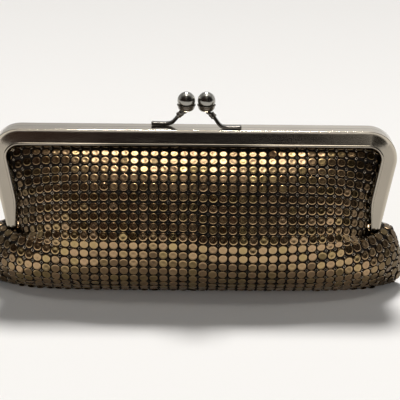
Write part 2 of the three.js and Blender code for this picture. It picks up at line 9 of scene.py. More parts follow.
import bmesh
import bpy
import numpy as np
from bpy.props import FloatProperty, FloatVectorProperty, IntProperty, PointerProperty
from mathutils import Matrix, Vector


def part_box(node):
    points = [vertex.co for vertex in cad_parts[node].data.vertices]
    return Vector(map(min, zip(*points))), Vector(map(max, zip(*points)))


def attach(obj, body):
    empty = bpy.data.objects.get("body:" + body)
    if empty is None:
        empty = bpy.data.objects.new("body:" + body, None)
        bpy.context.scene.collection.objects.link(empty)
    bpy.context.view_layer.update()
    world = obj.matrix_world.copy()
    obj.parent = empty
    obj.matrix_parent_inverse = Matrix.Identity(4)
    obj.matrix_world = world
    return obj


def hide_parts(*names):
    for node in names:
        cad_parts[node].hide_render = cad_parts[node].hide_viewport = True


bl_info = {
    "name": "Metal mesh clutch purse",
    "version": (1, 0, 0),
    "blender": (4, 5, 0),
    "location": "3D View > Sidebar > Purse",
    "description": "Dresses a kiss-lock clutch purse in metal mesh discs and polished metal",
    "category": "Add Mesh",
}

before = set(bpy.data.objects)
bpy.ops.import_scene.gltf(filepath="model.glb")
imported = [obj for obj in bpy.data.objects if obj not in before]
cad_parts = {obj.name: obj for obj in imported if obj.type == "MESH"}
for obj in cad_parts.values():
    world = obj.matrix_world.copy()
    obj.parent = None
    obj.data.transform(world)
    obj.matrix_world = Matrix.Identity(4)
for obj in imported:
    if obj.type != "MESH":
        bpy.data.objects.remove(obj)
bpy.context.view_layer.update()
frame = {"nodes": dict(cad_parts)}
MM = 0.001

FRONT_LOW, FRONT_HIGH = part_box("frame_front")
RIVET_LOW, RIVET_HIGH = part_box("hinge_rivet_right")
BAG_LOW, BAG_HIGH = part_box("mesh_bag")
SEAM_Y = (RIVET_LOW.y + RIVET_HIGH.y) / 2  # where the halves of the frame meet

CLOTH = 2 * MM  # thickness of the cloth with its discs
PRESSED = 0.6 * MM  # height within which the cloth is pressed flat on the table
SEAM_OUT = 1.5 * MM  # of the side seam's top, outside the leg's end
TAB_RADIUS = 3 * MM  # of a hinge tab about its rivet
CUP_METAL = 0.9 * MM  # thickness of a cup's bottom

# Section through the middle of the cloth, from the lip to the base line: rise as a share of the
# lip's height, and out as a share of the way from the channel to the belly.
SECTION = np.array(
    [
        (1.0, 0.0), (0.978, 0.09), (0.952, 0.19), (0.92, 0.315), (0.883, 0.435), (0.84, 0.555),
        (0.79, 0.665), (0.734, 0.735), (0.672, 0.795), (0.61, 0.855), (0.549, 0.915), (0.49, 0.975),
        (0.448, 1.0), (0.41, 0.994), (0.361, 0.972), (0.3, 0.936), (0.24, 0.891), (0.184, 0.833),
        (0.132, 0.748), (0.079, 0.61), (0.034, 0.44), (0.0, 0.26),
    ]
)

# Outline of a side ear below the hinge: reach as a share of the way from the leg's end to the
# ear's tip, and rise as a share of the height of the seam's top.
EAR = np.array(
    [
        (0.0, 1.0), (0.16, 1.13), (0.36, 1.15), (0.58, 1.06), (0.8, 0.85), (0.95, 0.62),
        (1.0, 0.36), (0.96, 0.14), (0.7, 0.03), (-0.15, 0.0),
    ]
)

# Dents and swellings: side (1 in front, -1 behind), across, down, width, height, and the swell as
# a share of the belly's depth.
DENTS = (
    (1, 0.28, 0.63, 0.24, 0.13, 0.055),
    (1, -0.3, 0.6, 0.22, 0.14, -0.035),
    (1, 0.1, 0.3, 0.12, 0.14, -0.035),
    (1, -0.62, 0.3, 0.16, 0.12, 0.035),
    (1, 0.68, 0.33, 0.16, 0.14, 0.03),
    (1, -0.9, 0.8, 0.05, 0.05, -0.12),
    (-1, -0.4, 0.62, 0.25, 0.16, 0.045),
    (-1, 0.25, 0.5, 0.2, 0.18, -0.04),
    (-1, 0.7, 0.35, 0.15, 0.12, 0.03),
)


def length(name, default, description):
    """A property for a length, in metres."""
    return FloatProperty(
        name=name, description=description, default=default, min=0.0, unit="LENGTH", precision=5
    )


def colour(name, default, description):
    """A property for a linear colour."""
    return FloatVectorProperty(
        name=name, description=description, default=default, size=3, min=0.0, max=1.0,
        subtype="COLOR",
    )


class FrameSizes(bpy.types.PropertyGroup):
    """The folded metal frame."""

    corner_radius: length("Corner radius", 17.5 * MM, "Radius of the frame's two top corners")
    lean: FloatProperty(
        name="Leg lean", description="How far each leg leans inwards going down",
        default=np.radians(10.7), subtype="ANGLE",
    )
    taper: length("Leg taper", 22 * MM, "Length over which a leg narrows to its end")
    end_width: length("Leg end", 6 * MM, "Width of the face at a leg's end")
    metal: length("Metal", 1 * MM, "Thickness of the folded sheet")
    top_depth: length("Top depth", 7.35 * MM, "Depth of one half's flat top")
    face_drop: length("Face", 8.1 * MM, "Height of the bevelled face above the lip")
    face_bevel: length("Bevel", 1.6 * MM, "How far the face's lower edge stands out")
    lip_radius: length("Lip", 0.9 * MM, "Radius of the rolled lip")
    clearance: length("Clearance", 0.3 * MM, "Gap between neighbouring pieces")


class MeshSizes(bpy.types.PropertyGroup):
    """The discs, the rings that link them and the layer that carries them."""

    pitch: length("Pitch", 6 * MM, "Distance between neighbouring discs in a row")
    rows: IntProperty(
        name="Rows", description="Rows of discs from the frame to the base line", default=22, min=4
    )
    disc: length("Disc", 5.5 * MM, "Width of a disc")
    disc_metal: length("Disc metal", 0.45 * MM, "Thickness of a disc")
    dimple: length("Dimple", 0.13 * MM, "Depth of the hollow in a disc's middle")
    ring: length("Ring", 1.6 * MM, "Diameter of a linking ring, middle to middle of its wire")
    wire: length("Wire", 0.5 * MM, "Diameter of a ring's wire")
    carrier: length("Carrier", 0.7 * MM, "Thickness of the layer under the discs")
    sunk: length("Carrier depth", 0.9 * MM, "How far the layer lies below the discs' faces")
    looseness: FloatProperty(
        name="Looseness", description="Usual tilt of a disc away from the cloth",
        default=np.radians(2.6), subtype="ANGLE",
    )
    side_tilt: FloatProperty(
        name="Side tilt", description="How far the discs by the frame's legs look up",
        default=np.radians(10), subtype="ANGLE",
    )
    belly_tilt: FloatProperty(
        name="Belly tilt", description="How far the discs below the belly's widest row look up",
        default=np.radians(3.5), subtype="ANGLE",
    )
    seed: IntProperty(name="Seed", description="Number that the discs' tilts grow from", default=7)


class ClaspSizes(bpy.types.PropertyGroup):
    """The kiss lock: two arms, their cups and their balls."""

    middle: length("Middle", 1.3 * MM, "Distance of the clasp's middle from the frame's middle")
    spacing: length("Spacing", 12.3 * MM, "Distance between the middles of the balls")
    ball: length("Ball", 10.9 * MM, "Diameter of a ball")
    rise: length("Rise", 16.9 * MM, "Height of the balls' middles above the frame")
    arm_width: length("Arm width", 4 * MM, "Width of an arm's strip")
    arm_metal: length("Arm metal", 2 * MM, "Thickness of an arm's strip")
    foot_in: length("Foot start", 15.6 * MM, "Where a foot's inner end lies")
    foot_out: length("Foot end", 27.6 * MM, "Where a foot's outer end lies")
    ferrule: length("Ferrule", 2 * MM, "Radius of the collar under a cup")
    cup: length("Cup", 5.85 * MM, "Radius of a cup's rim")
    cup_height: length("Cup height", 4.2 * MM, "Height of a cup")


class Finishes(bpy.types.PropertyGroup):
    """Colours of the metals and of the room."""

    pewter: colour("Frame", (0.585, 0.525, 0.435), "Polished metal of the frame")
    clasp: colour("Ball", (0.38, 0.365, 0.33), "Metal of the balls")
    gunmetal: colour("Arm", (0.28, 0.255, 0.22), "Dark metal of the arms and the cups")
    bronze: colour("Disc", (0.44, 0.3, 0.165), "Bronze of the discs")
    rose: colour("Rosy disc", (0.45, 0.3, 0.175), "Bronze of the rosier discs")
    olive: colour("Olive disc", (0.4, 0.3, 0.13), "Bronze of the greener discs")
    brown: colour("Carrier", (0.006, 0.004, 0.003), "Dark layer under the discs")
    link: colour("Ring", (0.72, 0.62, 0.48), "Rings that link the discs")
    floor: colour("Floor", (0.86, 0.85, 0.84), "Pale surface that the purse stands on")
    warmth: colour("Ceiling", (1.0, 0.96, 0.89), "Light of the box overhead")
    sunlight: colour("Key light", (1.0, 0.985, 0.96), "Light from behind the purse")


class StageSettings(bpy.types.PropertyGroup):
    """The camera and the lights."""

    distance: length("Distance", 0.9, "From the camera to the point that it looks at")
    height: FloatProperty(
        name="Height", description="How far the camera looks down", default=np.radians(19.0),
        subtype="ANGLE",
    )
    roll: FloatProperty(
        name="Roll", description="Turn of the picture", default=np.radians(0.5), subtype="ANGLE"
    )
    lens: FloatProperty(
        name="Lens", description="Focal length on a 36 mm picture", default=129.8, min=10.0
    )
    look_x: FloatProperty(name="Look at X", description="Point looked at", default=0.004)
    look_z: FloatProperty(name="Look at Z", description="Point looked at", default=0.0542)
    sun: FloatProperty(name="Key light", description="Strength from above", default=3.3, min=0.0)
    sun_height: FloatProperty(
        name="Key height", description="How high the key light stands behind the purse",
        default=np.radians(56), subtype="ANGLE",
    )
    sun_width: FloatProperty(
        name="Key width", description="Angle that the key light fills", default=np.radians(12),
        subtype="ANGLE",
    )


class Purse(bpy.types.PropertyGroup):
    """All settings of the purse."""

    frame: PointerProperty(type=FrameSizes)
    mesh: PointerProperty(type=MeshSizes)
    clasp: PointerProperty(type=ClaspSizes)
    finish: PointerProperty(type=Finishes)
    stage: PointerProperty(type=StageSettings)


# Shapes as arrays


def ease(value, low, high):
    """0 below low, 1 above high, and between them 3t^2 - 2t^3 of the share t of the way."""
    t = np.clip((value - low) / (high - low), 0.0, 1.0)
    return t * t * (3.0 - 2.0 * t)


def blend(a, b, t):
    return a + (b - a) * t


def unit(vectors):
    """Vectors divided by their lengths."""
    return vectors / np.maximum(np.linalg.norm(vectors, axis=-1, keepdims=True), 1e-12)


def smooth_line(points, steps):
    """A curve through points: on each stretch a cubic whose end slopes are the slopes of the
    stretches beside it, weighted by the square roots of their lengths."""
    gaps = np.sqrt(np.linalg.norm(np.diff(points, axis=0), axis=1))
    knots = np.concatenate([[0.0], np.cumsum(gaps)])
    slopes = np.diff(points, axis=0) / gaps[:, None]
    inner = (slopes[:-1] * gaps[1:, None] + slopes[1:] * gaps[:-1, None]) / (
        (gaps[:-1] + gaps[1:])[:, None]
    )
    ends = np.vstack([slopes[:1], inner, slopes[-1:]])
    at = np.linspace(0.0, knots[-1], steps * len(gaps) + 1)
    i = np.clip(np.searchsorted(knots, at, side="right") - 1, 0, len(gaps) - 1)
    h = gaps[i][:, None]
    t = (at - knots[i])[:, None] / h
    return (
        (2 * t**3 - 3 * t**2 + 1) * points[i]
        + (t**3 - 2 * t**2 + t) * h * ends[i]
        + (3 * t**2 - 2 * t**3) * points[i + 1]
        + (t**3 - t**2) * h * ends[i + 1]
    )


def along(line, part):
    """Points at shares of a line's length."""
    run = np.concatenate([[0.0], np.cumsum(np.linalg.norm(np.diff(line, axis=0), axis=1))])
    at = np.asarray(part) * run[-1]
    return np.stack([np.interp(at, run, line[:, k]) for k in range(line.shape[1])], axis=-1)


class Outline:
    """Where the frame's edges and the cloth run, worked out once from the sizes."""

    def __init__(self, sizes):
        f = sizes
        self.width = FRONT_HIGH.x - FRONT_LOW.x
        self.top = FRONT_HIGH.z
        self.leg_end = FRONT_LOW.z
        self.radius = f.corner_radius
        self.lean = f.lean
        self.corner_x = self.width / 2 - self.radius
        self.corner_z = self.top - self.radius
        self.tangent_z = self.corner_z - self.radius * np.sin(self.lean)
        self.face = f.face_drop + 2 * f.lip_radius
        self.lip_out = f.top_depth + f.face_bevel - f.clearance
        self.narrow = f.end_width / self.face
        self.taper = f.taper
        self.clearance = f.clearance
        channel = self.lip_out - f.lip_radius - f.metal
        self.cloth_out = f.metal + (channel + CLOTH) / 2
        self.lip_z = self.top - self.face - f.clearance
        self.belly = (BAG_HIGH.y - BAG_LOW.y) / 2 - 0.4 * MM
        self.ear_tip = BAG_HIGH.x
        self.section = self.section_line()
        self.edge, self.hinge, self.seam = self.edge_line()

    def leg_x(self, z):
        """A leg's outer edge at a height: a straight line that leans in going down."""
        tangent_x = self.corner_x + self.radius * np.cos(self.lean)
        return tangent_x - (self.tangent_z - z) * np.tan(self.lean)

    def face_share(self, z):
        return blend(self.narrow, 1.0, ease(z, self.leg_end, self.leg_end + self.taper))

    def section_line(self):
        out = blend(self.cloth_out, self.belly, SECTION[:, 1])
        line = smooth_line(np.stack([out, SECTION[:, 0] * self.lip_z], axis=1), 12)
        line[:, 1] = np.maximum(line[:, 1], 0.0)
        return np.vstack([line, [0.0, 0.0]])

    def edge_line(self):
        """The cloth's right edge as (x, z): round the corner, down the leg and round the ear."""
        inset = self.radius - self.face - self.clearance
        turn = np.pi / 2 + self.lean
        a = np.linspace(turn / 2, turn, 10)[:-1]
        corner = np.stack(
            [self.corner_x + inset * np.sin(a), self.corner_z + inset * np.cos(a)], axis=1
        )
        z = np.linspace(self.tangent_z, self.leg_end, 24)
        inward = self.face * self.face_share(z) + self.clearance
        leg = np.stack(
            [self.leg_x(z) - inward * np.cos(self.lean), z + inward * np.sin(self.lean)], axis=1
        )
        under = self.leg_end - 4 * self.clearance
        above = np.vstack([corner, leg, [leg[-1, 0], under]])
        seam_x = self.leg_x(self.leg_end) + SEAM_OUT
        reach = blend(seam_x, self.ear_tip, EAR[:, 0])
        ear = smooth_line(np.stack([reach, EAR[:, 1] * under], axis=1), 8)
        ear[:, 1] = np.maximum(ear[:, 1], 0.0)
        line = np.vstack([above, ear])
        run = np.concatenate([[0.0], np.cumsum(np.linalg.norm(np.diff(line, axis=0), axis=1))])
        return line, run[len(above) - 1] / run[-1], run[len(above)] / run[-1]

    def cloth(self, side, across, down):
        """A point of the cloth. A row goes from edge to edge as a rounded bow through the middle
        section: its depth is the section's times (1 - u^n)^p, with u the distance across, and its
        height leaves the section's for the edge's by u^q. Dents add bell-shaped swellings."""
        across, down = np.broadcast_arrays(across, down)
        u = np.abs(across)
        edge = along(self.edge, down)
        middle = along(self.section, down)
        edge_out = (1 - ease(down, self.hinge, self.seam)) * self.cloth_out
        low = ease(down, 0.45, 0.75)
        bow = (1 - u ** blend(3.2, 5.2, low)) ** blend(0.6, 0.8, low)
        upper = blend(30.0, 5.0, ease(down, 0.0, 0.12))
        level = 1 - u ** blend(upper, 10.0, ease(down, self.seam, self.seam + 0.15))
        swell = np.zeros_like(u)
        for dent_side, at, sunk, wide, tall, amount in DENTS:
            if dent_side == side:
                swell += amount * np.exp(-(((across - at) / wide) ** 2) - ((down - sunk) / tall) ** 2)
        swell *= self.belly * bow * np.sin(np.pi * down)
        out = edge_out + (middle[..., 0] - edge_out) * bow + swell
        z = edge[..., 1] + (middle[..., 1] - edge[..., 1]) * level
        sink = PRESSED * (1 - ease(z, 0.0, self.lip_z / 3))
        z = np.maximum(z - sink, 0.0)
        return np.stack([edge[..., 0] * across, SEAM_Y - side * out, z], axis=-1)

    def cloth_frame(self, side, across, down):
        """A point of the cloth with its row's direction, the direction up the cloth and the
        direction out of it, from differences to either side."""
        step = 1e-3
        point = self.cloth(side, across, down)
        right = self.cloth(side, np.minimum(across + step, 1), down)
        left = self.cloth(side, np.maximum(across - step, -1), down)
        above = self.cloth(side, across, np.maximum(down - step, 0))
        below = self.cloth(side, across, np.minimum(down + step, 1))
        row = unit(right - left)
        out = unit(np.cross(row, above - below)) * side
        return point, row, np.cross(out, row), out


def make_piece(name, points, faces, material, smooth=True):
    """A mesh object from arrays: points (n, 3), and faces as one array or a list of arrays with
    the corners of each face in a row. It rides on the purse."""
    groups = faces if isinstance(faces, list) else [faces]
    sizes = np.concatenate([np.full(len(g), g.shape[1]) for g in groups])
    corners = np.concatenate([g.ravel() for g in groups])
    mesh = bpy.data.meshes.new(name)
    mesh.vertices.add(len(points))
    mesh.vertices.foreach_set("co", np.ascontiguousarray(points, dtype=np.float32).ravel())
    mesh.loops.add(len(corners))
    mesh.loops.foreach_set("vertex_index", corners.astype(np.int32))
    mesh.polygons.add(len(sizes))
    starts = np.concatenate([[0], np.cumsum(sizes)[:-1]]).astype(np.int32)
    mesh.polygons.foreach_set("loop_start", starts)
    mesh.polygons.foreach_set("use_smooth", np.full(len(sizes), smooth))
    mesh.update(calc_edges=True)
    mesh.validate()
    mesh.materials.append(material)
    piece = bpy.data.objects.new(name, mesh)
    bpy.context.scene.collection.objects.link(piece)
    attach(piece, "root")
    return piece


def attribute(piece, name, values):
    """A number at each point of a piece, for its material."""
    layer = piece.data.attributes.new(name, "FLOAT", "POINT")
    layer.data.foreach_set("value", values.astype(np.float32))


def grid_faces(rows, columns, closed_rows=False, closed_columns=False):
    """Quads between neighbouring points of a grid, numbered row by row."""
    r = np.arange(rows if closed_rows else rows - 1)[:, None]
    c = np.arange(columns if closed_columns else columns - 1)[None, :]
    a = r * columns + c
    b = r * columns + (c + 1) % columns
    d = (r + 1) % rows * columns + c
    e = (r + 1) % rows * columns + (c + 1) % columns
    return np.stack([a, b, e, d], axis=-1).reshape(-1, 4)


def joined(parts):
    """Several (points, list of faces) as one."""
    points, faces, start = [], [], 0
    for part_points, part_faces in parts:
        points.append(part_points)
        faces += [g + start for g in part_faces]
        start += len(part_points)
    return np.vstack(points), faces


def tube(rings):
    """A closed body from rings of points (stations, corners, 3), with a face on each end."""
    stations, corners = rings.shape[:2]
    caps = np.arange(corners)
    faces = [
        grid_faces(stations, corners, closed_columns=True),
        caps[::-1][None, :],
        (caps + (stations - 1) * corners)[None, :],
    ]
    return outwards(rings.reshape(-1, 3), faces)


def outwards(points, faces):
    """The same body with every face turned over if it encloses a negative volume."""
    volume = 0.0
    for group in faces:
        for k in range(1, group.shape[1] - 1):
            a, b, c = points[group[:, 0]], points[group[:, k]], points[group[:, k + 1]]
            volume += np.einsum("ij,ij->i", a, np.cross(b, c)).sum()
    return points, ([g[:, ::-1] for g in faces] if volume < 0 else faces)


def lathe(profile, around, centre):
    """A body turned about the upright axis through centre. profile is (radius, height) from the
    lower pole to the upper one, both on the axis."""
    a = np.linspace(0, 2 * np.pi, around, endpoint=False)
    ring = profile[1:-1]
    points = np.stack(
        [
            ring[:, None, 0] * np.cos(a),
            ring[:, None, 0] * np.sin(a),
            np.broadcast_to(ring[:, None, 1], (len(ring), around)),
        ],
        axis=-1,
    ).reshape(-1, 3)
    poles = np.array([[0, 0, profile[0, 1]], [0, 0, profile[-1, 1]]])
    n = len(points)
    first = np.arange(around)
    last = first + n - around
    faces = [
        grid_faces(len(ring), around, closed_columns=True),
        np.stack([np.full(around, n), np.roll(first, -1), first], axis=1),
        np.stack([np.full(around, n + 1), last, np.roll(last, -1)], axis=1),
    ]
    return outwards(np.vstack([points, poles]) + np.array(centre), faces)


def placed(template, faces, centres, x, y, z):
    """Copies of a template, each with its own axes: every point is centre + px*x + py*y + pz*z."""
    axes = np.stack([x, y, z], axis=1)
    points = centres[:, None, :] + np.einsum("pk,nkj->npj", template, axes)
    shift = np.arange(len(centres))[:, None, None] * len(template)
    copies = [(g[None] + shift).reshape(-1, g.shape[1]) for g in faces]
    return points.reshape(-1, 3), copies


# Shading


def add_node(tree, kind, inputs=None, **settings):
    """A node with its settings, its input values and the links into it."""
    made = tree.nodes.new(kind)
    for key, value in settings.items():
        setattr(made, key, value)
    for key, value in (inputs or {}).items():
        if isinstance(value, bpy.types.NodeSocket):
            tree.links.new(value, made.inputs[key])
        else:
            made.inputs[key].default_value = value
    return made


def maths(tree, operation, a, b=None, clamp=False):
    inputs = {0: a} if b is None else {0: a, 1: b}
    return add_node(
        tree, "ShaderNodeMath", inputs, operation=operation, use_clamp=clamp
    ).outputs[0]


def mix_colours(tree, part, a, b):
    made = add_node(tree, "ShaderNodeMix", {0: part}, data_type="RGBA")
    for index, value in ((6, a), (7, b)):
        if isinstance(value, bpy.types.NodeSocket):
            tree.links.new(value, made.inputs[index])
        else:
            made.inputs[index].default_value = (*value, 1.0)
    return made.outputs[2]


def noise(tree, vector, scale, detail=3.0, roughness=0.55):
    inputs = {"Vector": vector, "Scale": scale, "Detail": detail, "Roughness": roughness}
    return add_node(tree, "ShaderNodeTexNoise", inputs).outputs["Fac"]


def spread(tree, value, low, high, to_low=0.0, to_high=1.0):
    inputs = {"Value": value, 1: low, 2: high, 3: to_low, 4: to_high}
    return add_node(tree, "ShaderNodeMapRange", inputs).outputs[0]


def wear_group():
    """Fine scratches, faint smudges and a slow change of tone, all from one position."""
    name = "metal_wear"
    if name in bpy.data.node_groups:
        return bpy.data.node_groups[name]
    group = bpy.data.node_groups.new(name, "ShaderNodeTree")
    for label, kind, default in (
        ("Vector", "NodeSocketVector", None),
        ("Grain Scale", "NodeSocketFloat", 1.0),
        ("Grain Across", "NodeSocketFloat", 1.0),
    ):
        socket = group.interface.new_socket(name=label, in_out="INPUT", socket_type=kind)
        if default is not None:
            socket.default_value = default
    for label in ("Scratches", "Smudge", "Tone"):
        group.interface.new_socket(name=label, in_out="OUTPUT", socket_type="NodeSocketFloat")
    inside = add_node(group, "NodeGroupInput")
    vector = inside.outputs["Vector"]
    stretch = add_node(
        group, "ShaderNodeCombineXYZ",
        {
            "X": inside.outputs["Grain Scale"],
            "Y": inside.outputs["Grain Across"],
            "Z": inside.outputs["Grain Across"],
        },
    ).outputs[0]
    lengthwise = add_node(
        group, "ShaderNodeVectorMath", {0: vector, 1: stretch}, operation="MULTIPLY"
    ).outputs[0]
    streaks = noise(group, lengthwise, 1.0, 4.0, 0.7)
    scratches = spread(group, streaks, 0.35, 0.65)
    smudge = spread(group, noise(group, vector, 90.0, 4.0), 0.4, 0.75)
    tone = spread(group, noise(group, vector, 28.0, 2.0), 0.3, 0.7)
    add_node(
        group, "NodeGroupOutput", {"Scratches": scratches, "Smudge": smudge, "Tone": tone}
    )
    return group


def new_material(name):
    material = bpy.data.materials.new(name)
    material.use_nodes = True
    tree = material.node_tree
    tree.nodes.clear()
    shader = add_node(tree, "ShaderNodeBsdfPrincipled")
    add_node(tree, "ShaderNodeOutputMaterial", {"Surface": shader.outputs[0]})
    return material, tree, shader


def polished_metal(name, tint, roughness, grain_along, grain_across, grain, dull):
    """Polished metal with fine grain, smudges and a slow change of tone. dull is how much darker its
    tarnished patches are. Where the shade attribute is 1 it is darker: painted shade on the frame's lip
    and the middle rings, and the darker metal of the arm strips."""
    material, tree, shader = new_material(name)
    place = add_node(tree, "ShaderNodeTexCoord").outputs["Object"]
    wear = add_node(tree, "ShaderNodeGroup", node_tree=wear_group())
    tree.links.new(place, wear.inputs["Vector"])
    wear.inputs["Grain Scale"].default_value = grain_along
    wear.inputs["Grain Across"].default_value = grain_across
    dark = tuple(c * (1 - dull) for c in tint)
    clean = mix_colours(tree, wear.outputs["Tone"], dark, tuple(tint))
    # Where the shade attribute is 1 the colour is darkened: painted shade on the lip and the middle
    # rings, darker metal on the arm strips.
    shade = add_node(tree, "ShaderNodeAttribute", attribute_name="shade").outputs["Fac"]
    base = mix_colours(tree, shade, clean, tuple(c * 0.15 for c in tint))
    smudged = maths(tree, "MULTIPLY_ADD", wear.outputs["Smudge"], 0.03)
    smudged.node.inputs[2].default_value = roughness
    rough = maths(tree, "MULTIPLY_ADD", wear.outputs["Scratches"], 0.03)
    tree.links.new(smudged, rough.node.inputs[2])
    bump = add_node(
        tree, "ShaderNodeBump",
        {"Strength": grain, "Distance": 0.00004, "Height": wear.outputs["Scratches"]},
    )
    tree.links.new(base, shader.inputs["Base Color"])
    tree.links.new(rough, shader.inputs["Roughness"])
    tree.links.new(bump.outputs[0], shader.inputs["Normal"])
    shader.inputs["Metallic"].default_value = 1.0
    return material


def disc_metal(finish):
    """Satin bronze for the discs. The tone attribute gives each disc its own tint. Another
    attribute, 1 at the raised rim, paints the rim's bronze brighter: a painted highlight. Where the
    shade attribute is 1 the bronze is painted darker: painted shade at the ends of the rows."""
    material, tree, shader = new_material("mesh_disc_bronze")
    tone = add_node(tree, "ShaderNodeAttribute", attribute_name="tone").outputs["Fac"]
    rim_highlight = add_node(tree, "ShaderNodeAttribute", attribute_name="rim_highlight").outputs["Fac"]
    place = add_node(tree, "ShaderNodeTexCoord").outputs["Object"]
    wear = add_node(tree, "ShaderNodeGroup", node_tree=wear_group())
    tree.links.new(place, wear.inputs["Vector"])
    wear.inputs["Grain Scale"].default_value = 900.0
    wear.inputs["Grain Across"].default_value = 900.0
    rosy = mix_colours(tree, spread(tree, tone, 0.55, 0.95), tuple(finish.bronze), tuple(finish.rose))
    tinted = mix_colours(tree, spread(tree, tone, 0.4, 0.05), rosy, tuple(finish.olive))
    deep = mix_colours(
        tree, maths(tree, "MULTIPLY", wear.outputs["Tone"], 0.35), tinted,
        tuple(c * 0.45 for c in finish.bronze),
    )
    # Painted highlight: the rim's bronze is painted up to half again brighter.
    painted_rim_highlight = mix_colours(
        tree, maths(tree, "MULTIPLY", rim_highlight, 0.35), deep, tuple(min(1.0, c * 1.5) for c in finish.bronze)
    )
    # Painted shade: the bronze is darkened where the shade attribute is 1.
    shade = add_node(tree, "ShaderNodeAttribute", attribute_name="shade").outputs["Fac"]
    bright = mix_colours(tree, shade, painted_rim_highlight, tuple(c * 0.12 for c in finish.bronze))
    rough = maths(tree, "MULTIPLY_ADD", wear.outputs["Smudge"], 0.1)
    rough.node.inputs[2].default_value = 0.14
    rougher = maths(tree, "MULTIPLY_ADD", tone, 0.08)
    tree.links.new(rough, rougher.node.inputs[2])
    bump = add_node(
        tree, "ShaderNodeBump",
        {"Strength": 0.25, "Distance": 0.00003, "Height": wear.outputs["Scratches"]},
    )
    tree.links.new(bright, shader.inputs["Base Color"])
    tree.links.new(rougher, shader.inputs["Roughness"])
    tree.links.new(bump.outputs[0], shader.inputs["Normal"])
    shader.inputs["Metallic"].default_value = 1.0
    return material


def carrier_cloth(finish):
    """Dark layer under the discs, with the shadowy pattern of the small links in it."""
    material, tree, shader = new_material("mesh_carrier")
    place = add_node(tree, "ShaderNodeTexCoord").outputs["Object"]
    cells = add_node(
        tree, "ShaderNodeTexVoronoi", {"Vector": place, "Scale": 900.0}
    ).outputs["Distance"]
    tone = noise(tree, place, 60.0)
    base = mix_colours(
        tree, spread(tree, tone, 0.35, 0.65), tuple(finish.brown), tuple(c * 2.2 for c in finish.brown)
    )
    bump = add_node(
        tree, "ShaderNodeBump", {"Strength": 0.7, "Distance": 0.0002, "Height": cells}
    )
    tree.links.new(base, shader.inputs["Base Color"])
    tree.links.new(spread(tree, cells, 0.1, 0.7, 0.5, 0.8), shader.inputs["Roughness"])
    shader.inputs["Specular IOR Level"].default_value = 0.15
    tree.links.new(bump.outputs[0], shader.inputs["Normal"])
    return material


def floor_finish(finish):
    material, tree, shader = new_material("floor_matt")
    place = add_node(tree, "ShaderNodeTexCoord").outputs["Object"]
    pale = tuple(finish.floor)
    away = add_node(tree, "ShaderNodeSeparateXYZ", {0: place}).outputs["Y"]
    # Painted shade: the floor darkens to 0.8 of its colour from 0.3 m to 1.2 m further back.
    base = mix_colours(
        tree, spread(tree, away, 0.3, 1.2), pale, tuple(c * 0.8 for c in pale)
    )
    tree.links.new(base, shader.inputs["Base Color"])
    shader.inputs["Roughness"].default_value = 0.7
    shader.inputs["Specular IOR Level"].default_value = 0.2
    return material


def settings():
    return bpy.context.scene.purse


# Operators


